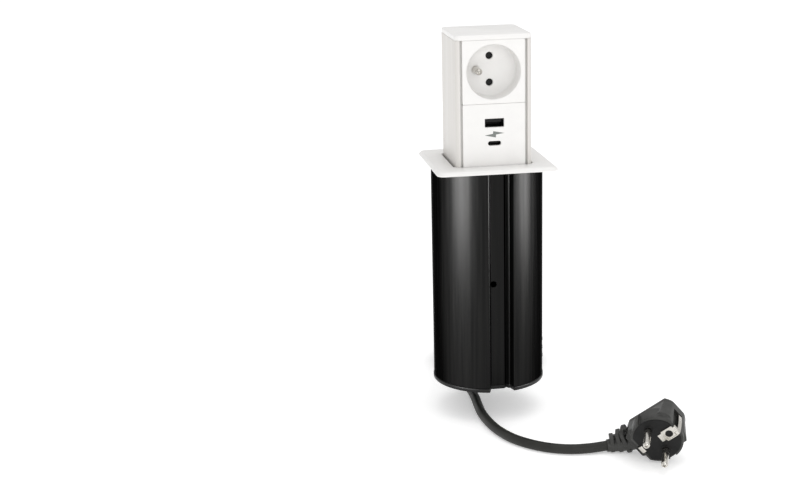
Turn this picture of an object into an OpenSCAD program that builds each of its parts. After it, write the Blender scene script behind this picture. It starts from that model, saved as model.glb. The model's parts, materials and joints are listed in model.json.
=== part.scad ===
// Pop-up desk socket tower: a square tower slides up out of a round barrel that hangs in a
// desk hole by its square flange. Shown raised, with its mains lead and plug on the surface
// below. The origin is the centre of the flange's underside, +Z is up and -Y is the front.

/* [Flange] */
// Side of the square flange
flange_side = 86.8; // [86:0.2:96]
// Thickness of the flange above the desk
flange_t = 3; // [2.6:0.2:4]
// Corner radius of the flange
flange_corner_r = 7; // [4:0.5:10]
// Outer edge of each slot beside the tower, from the middle
slot_x = 29; // [28.6:0.1:30]
// Length of each slot
slot_len = 49; // [40:1:50]

/* [Tower] */
// Side of the square tower
tower_side = 54.6; // [54.4:0.1:55]
// Radius of the tower's corners
tower_corner_r = 3; // [2:0.5:4]
// Wall of the tower profile
tower_wall = 1.6; // [1.2:0.1:2]
// Thickness of the lid
lid_t = 3.7; // [3:0.1:4]
// How far the tower rises from closed to open
rise = 93; // [93:1:93]
// Side of each square front module
module_side = 44.9; // [44.6:0.1:44.9]
// Pitch of the two front modules
module_pitch = 45; // [45:1:45]

/* [Barrel] */
// Outer radius of the barrel
barrel_r = 40.6; // [40.4:0.1:40.8]
// Wall of the barrel
barrel_wall = 1.8; // [1.5:0.1:2]
// Length of the barrel below the desk top
barrel_len = 160; // [158:1:162]
// Middle of the front channel, right of the barrel's middle
channel_x = 2.3; // [0:0.1:3]
// Depth of the channel's floor, from the barrel's axis
channel_floor = 33; // [33:0.5:34]
// Half width of the channel at its floor
channel_half = 6.9; // [6:0.1:7]
// Cable tie hole in the channel's floor
channel_hole_d = 4.4; // [3:0.1:5]

/* [Socket] */
// Diameter of the socket recess
recess_d = 38.8; // [38.6:0.1:39]
// Depth of the socket recess
recess_depth = 15; // [15:0.5:15]
// Distance between the two contact holes
contact_pitch = 19; // [19:1:19]
// Diameter of the contact holes
contact_hole_d = 5.2; // [5:0.1:5.4]
// Diameter of the earth pin and of the plug's pins
pin_d = 4.8; // [4.8:0.1:4.8]
// Distance of the earth pin from the line of the contacts
earth_offset = 10; // [10:1:10]

/* [USB module] */
// Width and height of the wide charging port
usb_a_size = [13.8, 6.2];
// Width and height of the oval charging port
usb_c_size = [9, 3];

/* [Cord] */
// Diameter of the mains cord
cord_d = 7; // [7:0.5:7]
// Inner radius of the coil of spare cord
coil_r_in = 30.5; // [30.5:0.5:30.5]
// Number of turns side by side in the coil
coil_wide = 2; // [2:1:2]
// Number of layers in the coil
coil_high = 3; // [3:1:3]

/* [Hidden] */
$fn = 64;

// levels of the tower, raised
lid_top = flange_t + rise;
lid_bottom = lid_top - lid_t;
upper_z = lid_bottom - module_pitch/2;
lower_z = upper_z - module_pitch;
tower_bottom = -30;
plate_t = 3;
half = tower_side/2;
post_x = 24;
post_depth = 5.6;
play = 0.4;
corner_screw = [25.5, 24.4];
corner_screw_r = 1;

// levels of the barrel
cap_t = 3;
base_z = -barrel_len - cap_t;
pocket_r = 41.4;
pocket_t = 1;
ring_t = 2.5;
port_x = 35.3;
port_y = 7;
port_r = 3.2;
screw_r = 1.6;
head_r = 2.7;
cap_r = 41;
spigot_r = 38.5;
spigot_h = 5;
guide_top = -4;
channel_lip_depth = 12;
channel_flare = 3.8;
channel_wall = 2;
hole_z = -83;
hole_x = -2.6;

// socket levels, measured back from the front face
face_y = -half;
recess_y = face_y + recess_depth;
recess_floor_t = 2;
shutter_y = recess_y + recess_floor_t + 0.4;
shutter_t = 1.8;
sleeve_y = shutter_y + shutter_t + 0.4;
housing_y = recess_y + recess_floor_t;
housing_depth = 24;
housing_bottom = upper_z - 22;
housing_wall = 1.2;
earth_pin_reach = 14;
shutter_bottom = upper_z - contact_pitch/2 - 3.8;
wire_r = 1.2;
wire_y = 18;
wire_z = upper_z - 14;
wire_x = [-12, -8, -4];

// charging ports
usb_a_z = lower_z + 8.9;
usb_mark_z = lower_z + 0.8;
usb_c_z = lower_z - 5.7;
usb_x = 0.3;
mark_t = 0.25;
skirt_depth = 9;
face_t = 2;
port_len = 13;
board_y = face_y + face_t + port_len;
board_t = 1.6;
usb_housing_half = 21;
usb_housing_wall = 1.5;

// cord: it leaves the gland backwards, winds into a coil behind the barrel, returns below
// the base and lies in a curve in front of it
gland_at = [-11, 4];
gland_z = -171;
gland_r = 6;
gland_reach = 12;
boot_len = 24;
surface_z = base_z - 24;
cord_r = cord_d/2;
lay_z = surface_z + cord_r;
coil_at = [22, 103];
coil_r_out = coil_r_in + coil_wide*cord_d;
coil_h = coil_high*cord_d;
tie_turn = 45;
exit_at = [gland_at[0], gland_at[1] + gland_reach + boot_len, gland_z];
lead_in_points = [exit_at, [-11.5, 55, -170.8], [-13, 70, -170.2], [-16, 86, -169.7],
    [-19, 103, -169.5]];
relief_points = [[61, -108, -182.4], [66, -108.5, -182], [71, -109.9, -181],
    [75.3, -112, -179.5]];
lead_out_points = [[22, 62, lay_z], [11.5, 60, lay_z], [1.5, 54, lay_z], [-5.5, 45, lay_z],
    [-8.5, 33, lay_z], [-8.5, 18, lay_z], [-9, 3, lay_z], [-10, -12, lay_z],
    [-10.5, -28, lay_z], [-9, -46, lay_z], [-5.5, -63, lay_z], [1, -79, lay_z],
    [11, -92, lay_z], [23, -101.5, lay_z], [36, -106.5, lay_z], [49, -108, -183.2],
    relief_points[0]];

// plug: its face lies in its own XY plane, its pins point along its +Z and its cord leaves
// along its -Y, through a relief that bends down to the surface
plug_at = [87, -138.7, -168.4];
plug_turn = [110, 49, -6];
plug_r = 17.8;
plug_flat = 16.7;
plug_rim = 13;
plug_depth = 26;
plug_back_half = 11.5;
neck_half = 9;
neck_y = -21;
plug_pin_len = 19;
pin_root_r = 3;
pin_root_len = 8;
clip_w = 7;
clip_t = 0.8;
clip_len = 18;
clip_recess = 1.1;
earth_hole_r = 2.6;
contact_start = 4;
notch_w = 5.6;
notch_depth = 1.8;
relief_r = [4.9, 6.6];
relief_core_r = 4.3;
relief_rib_t = 2.6;
relief_sides = 12;
neck_z = -17;
neck_centre = plug_at + on_plug([0, neck_y, neck_z]);

white = "white";
silver = [0.86, 0.85, 0.83];
satin_black = [0.1, 0.1, 0.1];
cord_grey = [0.24, 0.24, 0.23];
nickel = [0.78, 0.76, 0.72];

// ---- shapes that repeat ----

module rounded_square(side, r) {
    square([side, side - 2*r], center = true);
    square([side - 2*r, side], center = true);
    for (sx = [-1, 1], sy = [-1, 1])
        translate([sx*(side/2 - r), sy*(side/2 - r)]) circle(r);
}

module channel_outline(grow) {
    front = channel_floor + channel_lip_depth;
    translate([channel_x, 0])
        polygon([[-channel_half - grow, grow - channel_floor],
            [channel_half + grow, grow - channel_floor],
            [channel_half + grow + channel_flare, -front],
            [-channel_half - grow - channel_flare, -front]]);
}

// the front channel and the one opposite, for the two clamps
module both_channels(grow) {
    for (turn = [0, 180])
        rotate(turn) channel_outline(grow);
}

module at_ports() {
    for (sx = [-1, 1], sy = [-1, 1])
        translate([sx*port_x, sy*port_y]) children();
}

module at_corners() {
    for (sx = [-1, 1], sy = [-1, 1])
        translate([sx*corner_screw[0], sy*corner_screw[1]]) children();
}

// a screw with its head at z = 0 and its shank pointing down
module screw(length, r, head) {
    difference() {
        union() {
            translate([0, 0, -length]) cylinder(r = r, h = length);
            translate([0, 0, -1.6]) cylinder(r = head, h = 1.6);
        }
        translate([0, 0, -0.9]) cylinder(r = 1.3, h = 1, $fn = 6);
    }
}

// a closed rounded pin along +Z
module round_pin(r, length) {
    cylinder(r = r, h = length - r*0.6);
    translate([0, 0, length - r*0.6]) cylinder(r1 = r, r2 = r*0.55, h = r*0.6);
}

function unit(v) = v / norm(v);

// the direction of a route at its point i
function heading(points, i) =
    unit(points[min(i + 1, len(points) - 1)] - points[max(i - 1, 0)]);

// a ring of points about a place, square to a direction
function ring_about(at, along, r, sides) =
    let (across = unit(cross(along, [0, 0, 1])), up = cross(across, along))
    [for (k = [0:sides - 1]) at + r*(across*cos(360*k/sides) + up*sin(360*k/sides))];

// a closed skin over rings of the same count
module skin(rings) {
    sides = len(rings[0]);
    last = len(rings) - 1;
    polyhedron(
        [for (ring = rings) each ring],
        concat(
            [[for (k = [0:sides - 1]) k]],
            [for (i = [0:last - 1], k = [0:sides - 1])
                [i*sides + k, (i + 1)*sides + k, (i + 1)*sides + (k + 1)%sides,
                    i*sides + (k + 1)%sides]],
            [[for (k = [sides - 1:-1:0]) last*sides + k]]));
}

module tube(points, r, sides) {
    skin([for (i = [0:len(points) - 1]) ring_about(points[i], heading(points, i), r, sides)]);
}

// halfway points of a route, by the four-point rule, for a smooth tube
function midpoint(p, i) =
    let (a = p[max(i - 1, 0)], b = p[i], c = p[i + 1], d = p[min(i + 2, len(p) - 1)])
    (9*(b + c) - a - d)/16;
function smooth_route(p) =
    [for (i = [0:2*len(p) - 2]) i%2 == 0 ? p[i/2] : midpoint(p, (i - 1)/2)];

// a direction in the plug's own frame, turned as place_plug turns its children
function spun_x(v, a) = [v[0], v[1]*cos(a) - v[2]*sin(a), v[1]*sin(a) + v[2]*cos(a)];
function spun_y(v, a) = [v[0]*cos(a) + v[2]*sin(a), v[1], v[2]*cos(a) - v[0]*sin(a)];
function spun_z(v, a) = [v[0]*cos(a) - v[1]*sin(a), v[0]*sin(a) + v[1]*cos(a), v[2]];
function on_plug(v) = spun_z(spun_y(spun_x(v, plug_turn[0]), plug_turn[1]), plug_turn[2]);

module place_plug() {
    translate(plug_at) rotate(plug_turn) children();
}

// ---- barrel and flange ----

module barrel_profile() {
    difference() {
        union() {
            difference() {
                circle(barrel_r);
                circle(barrel_r - barrel_wall);
            }
            intersection() {
                circle(barrel_r - 0.2);
                both_channels(channel_wall);
            }
            at_ports() circle(port_r);
        }
        both_channels(0);
        for (turn = [0, 180])
            rotate(turn)
                translate([channel_x + 3, -channel_floor - 0.1]) square([3, 1.1]);
        at_ports() circle(screw_r);
    }
}

module barrel_shell() {
    color(satin_black)
    difference() {
        translate([0, 0, -barrel_len]) linear_extrude(barrel_len + pocket_t) barrel_profile();
        // room for the fixing ring on the screw ports
        translate([0, 0, -ring_t + pocket_t])
            cylinder(r = barrel_r - barrel_wall, h = ring_t + 1);
        translate([hole_x, -channel_floor + channel_wall + 1, hole_z])
            rotate([90, 0, 0]) cylinder(d = channel_hole_d, h = channel_wall + 4);
    }
}

module fixing_ring() {
    color("dimgray")
    translate([0, 0, pocket_t - ring_t])
    difference() {
        linear_extrude(ring_t) difference() {
            circle(barrel_r - barrel_wall);
            both_channels(channel_wall);
            flange_opening(0.2);
        }
        at_ports() translate([0, 0, -1]) cylinder(r = screw_r + 0.2, h = ring_t + 2);
        at_ports() translate([0, 0, ring_t - 1.7]) cylinder(r = head_r, h = 2);
    }
}

module ring_screws() {
    color(nickel) translate([0, 0, pocket_t - 0.1]) at_ports() screw(12, screw_r, head_r);
}

// the way through for the tower, with a slot along two of its sides
module flange_opening(grow) {
    gap = play + grow;
    rounded_square(tower_side + 2*gap, tower_corner_r + gap);
    square([2*(slot_x + grow), slot_len - 2], center = true);
    for (sx = [-1, 1], sy = [-1, 1])
        translate([sx*(slot_x - 1), sy*(slot_len/2 - 1)]) circle(1 + grow);
}

module top_flange() {
    steps = 4;
    inset = 0.6;
    drop = 0.4;
    color(white)
    difference() {
        union() {
            for (i = [0:steps - 1])
                linear_extrude(flange_t - drop*(steps - 1 - i))
                    rounded_square(flange_side - 2*inset*i, flange_corner_r - inset*i);
        }
        translate([0, 0, -1]) linear_extrude(flange_t + 2) flange_opening(0);
        translate([0, 0, -1]) cylinder(r = pocket_r, h = pocket_t + 1);
    }
}

module base_cap() {
    color(satin_black)
    difference() {
        union() {
            translate([0, 0, base_z]) cylinder(r = cap_r, h = cap_t);
            translate([0, 0, -barrel_len]) linear_extrude(spigot_h) difference() {
                circle(spigot_r);
                circle(spigot_r - 1.8);
                both_channels(channel_wall + 0.3);
                at_ports() circle(port_r + 0.3);
            }
        }
        translate([0, 0, base_z - 1]) linear_extrude(cap_t + 2) both_channels(0);
        translate([gland_at[0], gland_at[1], base_z - 1]) cylinder(r = gland_r, h = cap_t + 2);
        at_ports() translate([0, 0, base_z - 1]) cylinder(r = screw_r + 0.2, h = cap_t + 2);
        at_ports() translate([0, 0, base_z - 1]) cylinder(r = head_r, h = 2.7);
    }
}

module base_screws() {
    color(nickel)
    at_ports() translate([0, 0, base_z + 0.1]) rotate([180, 0, 0]) screw(14, screw_r, head_r);
}

// four plastic strips that guide the tower's sides
module guide_strips() {
    color("gray")
    for (sx = [-1, 1], sy = [-1, 1])
        translate([0, 0, -barrel_len + spigot_h + 1])
            linear_extrude(barrel_len - spigot_h - 1 + guide_top)
                intersection() {
                    circle(barrel_r - barrel_wall);
                    translate([sx*(half + play + 5), sy*18]) square([10, 7], center = true);
                }
}

// rubber pads in the top of the barrel that hold the tower where it is put
module friction_pads() {
    color("black")
    for (sx = [-1, 1], sy = [-1, 1])
        translate([sx*(half + play + 2) - 2, sy*12.7 - 1.8, -22]) cube([4, 3.6, 12]);
}

// the stops that the tower's lugs meet when it is fully up
module stop_blocks() {
    color("dimgray")
    for (sx = [-1, 1])
        intersection() {
            translate([0, 0, -21.5]) cylinder(r = barrel_r - barrel_wall, h = 9);
            translate([sx*35 - 5.5, -3.5, -22]) cube([11, 7, 10]);
        }
}

// ---- cord entry ----

module cord_gland() {
    inner_top = -barrel_len + 9;
    color(satin_black)
    translate([gland_at[0], gland_at[1], 0]) {
        translate([0, 0, gland_z]) cylinder(r = gland_r, h = inner_top - gland_z);
        translate([0, 0, base_z - 2]) cylinder(r = gland_r + 2.5, h = 2);
        translate([0, 0, gland_z]) sphere(r = gland_r);
        translate([0, 0, gland_z]) rotate([-90, 0, 0]) cylinder(r = gland_r, h = gland_reach);
    }
}

module gland_nut() {
    color(nickel)
    translate([gland_at[0], gland_at[1], -barrel_len])
        difference() {
            cylinder(r = gland_r + 3, h = 4, $fn = 6);
            translate([0, 0, -1]) cylinder(r = gland_r, h = 6);
        }
}

module cord_boot() {
    ribs = 5;
    rib_pitch = boot_len/ribs;
    color(satin_black)
    translate([gland_at[0], gland_at[1] + gland_reach, gland_z]) rotate([-90, 0, 0])
        for (i = [0:ribs - 1]) {
            translate([0, 0, i*rib_pitch]) cylinder(r = 5.6 - 0.25*i, h = rib_pitch*0.6);
            translate([0, 0, i*rib_pitch]) cylinder(r = 4.4, h = rib_pitch);
        }
}

// ---- tower ----

module tower_profile() {
    color(silver)
    translate([0, 0, tower_bottom]) linear_extrude(lid_bottom - tower_bottom)
        difference() {
            rounded_square(tower_side, tower_corner_r);
            square([tower_side - 2*tower_wall, tower_side - 2*post_depth], center = true);
            square([2*post_x, tower_side - 2*tower_wall], center = true);
            translate([0, -half]) square([2*post_x, 2*post_depth], center = true);
            at_corners() circle(corner_screw_r);
        }
}

module lid() {
    edge = 0.4;
    color(white) {
        translate([0, 0, lid_bottom]) linear_extrude(lid_t - edge)
            rounded_square(tower_side, tower_corner_r);
        translate([0, 0, lid_bottom]) linear_extrude(lid_t)
            rounded_square(tower_side - 2*edge, tower_corner_r - edge);
    }
}

// rails in the grooves beside the modules, which the modules clip to
module module_rails() {
    rail_w = post_x - module_side/2;
    color("lightgray")
    for (sx = [-1, 1])
        translate([sx*(post_x - rail_w/2) - rail_w/2, face_y + 2.6, tower_bottom])
            cube([rail_w, 7, lid_bottom - tower_bottom]);
}

// the front plate and side skirts that both modules share
module module_blank(z) {
    translate([-module_side/2, face_y, z - module_side/2])
        difference() {
            cube([module_side, skirt_depth, module_side]);
            translate([face_t, face_t, face_t])
                cube([module_side - 2*face_t, skirt_depth, module_side - 2*face_t]);
        }
}

module along_y(x, y, z) {
    translate([x, y, z]) rotate([-90, 0, 0]) children();
}

module socket_face() {
    color(white)
    difference() {
        union() {
            module_blank(upper_z);
            along_y(0, face_y + 1, upper_z)
                cylinder(r = recess_d/2 + 1.6, h = recess_depth + recess_floor_t - 1);
        }
        along_y(0, face_y - 1, upper_z) cylinder(d = recess_d, h = recess_depth + 1);
        for (s = [-1, 1])
            along_y(0, recess_y - 1, upper_z + s*contact_pitch/2)
                cylinder(d = contact_hole_d, h = 5);
        along_y(-earth_offset, recess_y - 1, upper_z) cylinder(r = pin_root_r, h = 5);
    }
}

// rear box of the socket, which holds the contacts and guides the shutter
module socket_housing() {
    side = 42;
    inner = side - 2*housing_wall;
    color("whitesmoke")
    translate([0, housing_y, housing_bottom])
        difference() {
            union() {
                difference() {
                    translate([-side/2, 0, 0]) cube([side, housing_depth, side + 1]);
                    translate([-inner/2, -1, housing_wall])
                        cube([inner, housing_depth, side + 1 - 2*housing_wall]);
                }
                for (s = [-1, 1])
                    translate([s*6.4 - 0.9, 0, 0]) cube([1.8, 3, side + 1]);
            }
            for (x = wire_x)
                along_y(x, housing_depth - 3, wire_z - housing_bottom)
                    cylinder(r = wire_r, h = 5);
        }
}

module earth_pin() {
    color(nickel)
    translate([-earth_offset, recess_y + pin_root_len, upper_z]) rotate([90, 0, 0]) {
        round_pin(pin_d/2, pin_root_len + earth_pin_reach);
        translate([0, 0, pin_root_len - recess_floor_t])
            cylinder(r = pin_root_r, h = recess_floor_t);
    }
}

module contact_sleeves() {
    sleeve_len = housing_y + housing_depth - 1 - sleeve_y;
    color("goldenrod")
    for (s = [-1, 1])
        along_y(0, sleeve_y, upper_z + s*contact_pitch/2)
            difference() {
                cylinder(r = 3.8, h = sleeve_len);
                translate([0, 0, -1]) cylinder(d = contact_hole_d, h = sleeve_len - 1);
            }
}

module earth_strap() {
    color("goldenrod")
    translate([-earth_offset, recess_y + pin_root_len, upper_z])
        union() {
            translate([-3, 0, -12]) cube([6, 1, 16]);
            translate([-3, 0, -12]) cube([6, 8, 1]);
        }
}

// a plate that covers both contact holes, with a window just above each
module shutter() {
    window = contact_hole_d + 0.4;
    color("black")
    difference() {
        translate([-5, shutter_y, shutter_bottom]) cube([10, shutter_t, contact_pitch + 10]);
        for (s = [-1, 1])
            translate([-window/2, shutter_y - 1, upper_z + s*contact_pitch/2 + 2.9])
                cube([window, shutter_t + 2, window]);
    }
}

// two small springs under the shutter
module shutter_springs() {
    seat = housing_bottom + housing_wall;
    color(nickel)
    for (x = [-3, 3])
        translate([x, shutter_y + shutter_t/2, seat])
            cylinder(r = 0.8, h = shutter_bottom - seat, $fn = 16);
}

module usb_face() {
    color(white)
    difference() {
        module_blank(lower_z);
        translate([usb_x - usb_a_size[0]/2, face_y - 1, usb_a_z - usb_a_size[1]/2])
            cube([usb_a_size[0], 4, usb_a_size[1]]);
        along_y(usb_x, face_y - 1, usb_c_z)
            linear_extrude(4) oval((usb_c_size[0] - usb_c_size[1])/2, usb_c_size[1]/2);
        along_y(usb_x, face_y - 1, usb_mark_z) linear_extrude(1 + mark_t) mark_outline();
    }
}

// a plain zigzag flash
module mark_outline() {
    polygon([[-6.2, 0.4], [-1, -0.2], [-0.9, -1.9], [6.2, -0.5], [0.95, 0], [0.7, 1.9]]);
}

module usb_mark() {
    color("gray")
    along_y(usb_x, face_y, usb_mark_z) linear_extrude(mark_t) mark_outline();
}

module usb_a_shell() {
    sheet = 0.3;
    color(nickel)
    translate([usb_x, face_y + face_t, usb_a_z])
        difference() {
            translate([-7.1, 0, -3.3]) cube([14.2, port_len, 6.6]);
            translate([sheet - 7.1, -1, sheet - 3.3])
                cube([14.2 - 2*sheet, port_len, 6.6 - 2*sheet]);
        }
}

module usb_a_tongue() {
    color("black")
    translate([usb_x - 5.6, face_y + 3.5, usb_a_z + 0.2])
        cube([11.2, board_y - 1 - face_y - 3.5, 1.9]);
}

module oval(span, r) {
    square([2*span, 2*r], center = true);
    for (s = [-1, 1])
        translate([s*span, 0]) circle(r);
}

module usb_c_shell() {
    r = usb_c_size[1]/2;
    span = usb_c_size[0]/2 - r;
    color(nickel)
    along_y(usb_x, face_y + face_t, usb_c_z)
        difference() {
            linear_extrude(port_len) oval(span, r + 0.25);
            translate([0, 0, -1]) linear_extrude(port_len) oval(span, r);
        }
}

module usb_c_tongue() {
    color("black")
    translate([usb_x - 3.3, face_y + 3.5, usb_c_z - 0.35])
        cube([6.6, board_y - 1 - face_y - 3.5, 0.7]);
}

module usb_board() {
    side = 2*(usb_housing_half - usb_housing_wall);
    color("darkgreen")
    translate([-side/2, board_y, lower_z - side/2]) cube([side, board_t, side]);
}

module usb_transformer() {
    color("khaki")
    translate([-13, board_y + board_t, lower_z - 12]) cube([15, 13, 16]);
}

module usb_capacitors() {
    color("midnightblue")
    for (z = [-9, 3])
        along_y(9, board_y + board_t, lower_z + z) cylinder(r = 5, h = 12);
}

module usb_housing() {
    depth = 26;
    side = 2*usb_housing_half;
    inner = side - 2*usb_housing_wall;
    color("whitesmoke")
    translate([0, face_y + skirt_depth, lower_z])
        difference() {
            translate([-side/2, 0, -side/2]) cube([side, depth, side]);
            translate([-inner/2, -1, -inner/2]) cube([inner, depth - 0.5, inner]);
        }
}

module bottom_plate() {
    color(satin_black)
    translate([0, 0, tower_bottom - plate_t])
        difference() {
            linear_extrude(plate_t) rounded_square(tower_side, tower_corner_r);
            translate([-8, 16, -1]) cylinder(r = 4, h = plate_t + 2);
            at_corners() translate([0, 0, -1]) cylinder(r = corner_screw_r, h = plate_t + 2);
        }
}

module bottom_screws() {
    color(nickel)
    translate([0, 0, tower_bottom - plate_t - 1.6])
        at_corners() rotate([180, 0, 0]) screw(12, corner_screw_r, 1.7);
}

// lugs riveted to the tower's sides, which meet the stop blocks
module stop_lugs() {
    color(nickel)
    for (sx = [-1, 1])
        translate([sx*(half + 3) - 3, -3, -28]) cube([6, 6, 6.2]);
}

module lead_clamp() {
    color("black")
    translate([-8, 16, tower_bottom])
        difference() {
            translate([-7, -6, 0]) cube([14, 12, 8]);
            translate([0, 0, -1]) cylinder(r = 4, h = 10);
        }
}

// one insulated wire, up from the clamp and into the back of the socket
module wire(x) {
    translate([x, wire_y, tower_bottom + 8])
        cylinder(r = wire_r, h = wire_z - tower_bottom - 8, $fn = 24);
    translate([x, wire_y, wire_z]) sphere(r = wire_r, $fn = 24);
    translate([x, wire_y, wire_z]) rotate([90, 0, 0]) cylinder(r = wire_r, h = 8, $fn = 24);
}

module live_wire() {
    color("saddlebrown") wire(wire_x[0]);
}

module neutral_wire() {
    color("royalblue") wire(wire_x[1]);
}

module earth_wire() {
    color("yellowgreen") wire(wire_x[2]);
}

// outer shape of the winding of lead between the base and the tower
module inner_lead() {
    bottom = -barrel_len + 10;
    color(cord_grey)
    translate([0, 0, bottom])
        difference() {
            cylinder(r = 22, h = tower_bottom - plate_t - bottom);
            translate([0, 0, -1]) cylinder(r = 15, h = barrel_len);
        }
}

// ---- cord, coil and plug ----

module cord_lead_in() {
    color(cord_grey) tube(smooth_route(lead_in_points), cord_r, 10);
}

module cord_lead_out() {
    color(cord_grey) tube(smooth_route(lead_out_points), cord_r, 10);
}

module cord_coil() {
    edge = 2;
    color(cord_grey)
    translate([coil_at[0], coil_at[1], surface_z])
        rotate_extrude()
            translate([coil_r_in, 0])
                intersection() {
                    translate([(coil_r_out - coil_r_in)/2, coil_h/2])
                        union() {
                            square([coil_r_out - coil_r_in, coil_h - 2*edge], center = true);
                            square([coil_r_out - coil_r_in - 2*edge, coil_h], center = true);
                        }
                    square([coil_r_out, coil_h]);
                }
}

// a hook and loop strap over the coil
module cord_tie() {
    strap = 0.9;
    wide = coil_r_out - coil_r_in;
    color("black")
    translate([coil_at[0], coil_at[1], surface_z])
        rotate(tie_turn)
            translate([coil_r_in, -5, 0])
                difference() {
                    translate([-strap - 0.6, 0, 0])
                        cube([wide + 2*strap + 1.2, 10, coil_h + strap]);
                    translate([-0.6, -1, -1]) cube([wide + 1.2, 12, coil_h + 1]);
                }
}

// outline of the plug behind its rim, seen along the pins
module plug_back_outline() {
    intersection() {
        circle(plug_r);
        square([2*plug_back_half, 2*plug_flat], center = true);
    }
    polygon([[-plug_back_half, 0], [-plug_back_half, neck_y + 4], [-neck_half, neck_y],
        [neck_half, neck_y], [plug_back_half, neck_y + 4], [plug_back_half, 0]]);
}

module plug_body() {
    color(cord_grey)
    place_plug()
        difference() {
            union() {
                intersection() {
                    translate([0, 0, -plug_rim]) cylinder(r = plug_r, h = plug_rim);
                    translate([-plug_r, -plug_flat, -plug_rim])
                        cube([2*plug_r, 2*plug_flat, plug_rim]);
                }
                translate([0, 0, -plug_depth])
                    linear_extrude(plug_depth - plug_rim + 4) plug_back_outline();
            }
            for (s = [-1, 1]) {
                translate([s*contact_pitch/2, 0, -pin_root_len])
                    cylinder(r = pin_root_r, h = pin_root_len + 1);
                // the guide notch beside each pin, and the recess of each earth clip
                translate([s*plug_r - notch_depth, -notch_w/2, -plug_rim - 1])
                    cube([2*notch_depth, notch_w, plug_rim + 2]);
                translate([-clip_w/2, s*plug_flat - clip_recess, -clip_len])
                    cube([clip_w, 2*clip_recess, clip_len + 1]);
            }
            translate([0, earth_offset, -10]) cylinder(r = earth_hole_r, h = 11);
        }
}

// ribs along the bend of the cord, ending square at the plug's neck
module plug_strain_relief() {
    last = len(relief_points) - 1;
    half = relief_rib_t/2;
    slope = 0.2;
    color(cord_grey)
    skin([
        ring_about(relief_points[0], heading(relief_points, 0), relief_core_r, relief_sides),
        for (i = [1:last])
            let (at = relief_points[i], along = heading(relief_points, i),
                r = relief_r[0] + (relief_r[1] - relief_r[0])*(i - 1)/(last - 1))
            each [
                ring_about(at - half*along, along, relief_core_r, relief_sides),
                ring_about(at - (half - slope)*along, along, r, relief_sides),
                ring_about(at + (half - slope)*along, along, r, relief_sides),
                ring_about(at + half*along, along, relief_core_r, relief_sides)],
        ring_about(neck_centre, on_plug([0, 1, 0]), relief_core_r, relief_sides)
    ]);
}

module plug_pins() {
    color(nickel)
    place_plug()
        for (s = [-1, 1])
            translate([s*contact_pitch/2, 0, 0]) {
                round_pin(pin_d/2, plug_pin_len);
                translate([0, 0, -pin_root_len]) cylinder(r = pin_root_r, h = pin_root_len);
            }
}

module plug_earth_clips() {
    color(nickel)
    place_plug()
        for (s = [-1, 1])
            translate([-clip_w/2, s*(plug_flat - clip_recess + clip_t/2) - clip_t/2, -clip_len])
                cube([clip_w, clip_t, clip_len]);
}

module plug_earth_contact() {
    color(nickel)
    place_plug()
        difference() {
            translate([-clip_w/2, contact_start, 0])
                cube([clip_w, plug_flat - clip_recess - contact_start, 0.6]);
            translate([0, earth_offset, -1]) cylinder(r = earth_hole_r, h = 3);
        }
}

barrel_shell();
fixing_ring();
ring_screws();
top_flange();
base_cap();
base_screws();
guide_strips();
friction_pads();
stop_blocks();
cord_gland();
gland_nut();
cord_boot();
tower_profile();
lid();
module_rails();
socket_face();
socket_housing();
earth_pin();
contact_sleeves();
earth_strap();
usb_face();
usb_mark();
usb_a_shell();
usb_a_tongue();
usb_c_shell();
usb_c_tongue();
usb_board();
usb_transformer();
usb_capacitors();
usb_housing();
bottom_plate();
bottom_screws();
stop_lugs();
lead_clamp();
live_wire();
neutral_wire();
earth_wire();
inner_lead();
shutter();
shutter_springs();
cord_lead_in();
cord_coil();
cord_tie();
cord_lead_out();
plug_body();
plug_strain_relief();
plug_pins();
plug_earth_clips();
plug_earth_contact();
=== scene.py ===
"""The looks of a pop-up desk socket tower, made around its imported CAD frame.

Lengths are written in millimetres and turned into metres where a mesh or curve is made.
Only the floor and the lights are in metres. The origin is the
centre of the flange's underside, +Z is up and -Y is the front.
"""

import json
import math

import bmesh
import bpy
from mathutils import Euler, Matrix, Vector


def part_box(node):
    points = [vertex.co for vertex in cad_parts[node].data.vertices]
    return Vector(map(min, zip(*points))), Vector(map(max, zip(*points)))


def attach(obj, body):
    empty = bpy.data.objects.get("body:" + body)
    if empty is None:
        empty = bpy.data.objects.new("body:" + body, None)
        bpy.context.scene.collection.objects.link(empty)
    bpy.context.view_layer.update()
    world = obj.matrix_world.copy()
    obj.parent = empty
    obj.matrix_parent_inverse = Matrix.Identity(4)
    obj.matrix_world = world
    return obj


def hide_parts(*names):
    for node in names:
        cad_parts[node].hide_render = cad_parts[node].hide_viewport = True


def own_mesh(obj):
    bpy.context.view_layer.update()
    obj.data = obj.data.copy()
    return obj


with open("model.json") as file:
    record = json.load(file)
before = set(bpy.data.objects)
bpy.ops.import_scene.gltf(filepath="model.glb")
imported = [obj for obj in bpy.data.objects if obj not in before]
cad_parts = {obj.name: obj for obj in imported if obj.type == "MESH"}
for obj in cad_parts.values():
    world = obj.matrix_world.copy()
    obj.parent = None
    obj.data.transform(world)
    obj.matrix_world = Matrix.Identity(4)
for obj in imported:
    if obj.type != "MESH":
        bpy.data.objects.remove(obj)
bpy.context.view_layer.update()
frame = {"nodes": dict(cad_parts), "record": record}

MM = 0.001
TAU = 2 * math.pi
scene = bpy.context.scene


def cad_mm(node):
    """The lowest and highest corner of a CAD node, in millimetres."""
    low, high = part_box(node)
    return low / MM, high / MM


def middle_z(node):
    low, high = cad_mm(node)
    return (low.z + high.z) / 2


def four_places(x, y):
    """The same place in each of the four quarters of the plan."""
    return [(side_x * x, side_y * y) for side_x in (-1, 1) for side_y in (-1, 1)]


# ---- camera, floor and light ----

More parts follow.
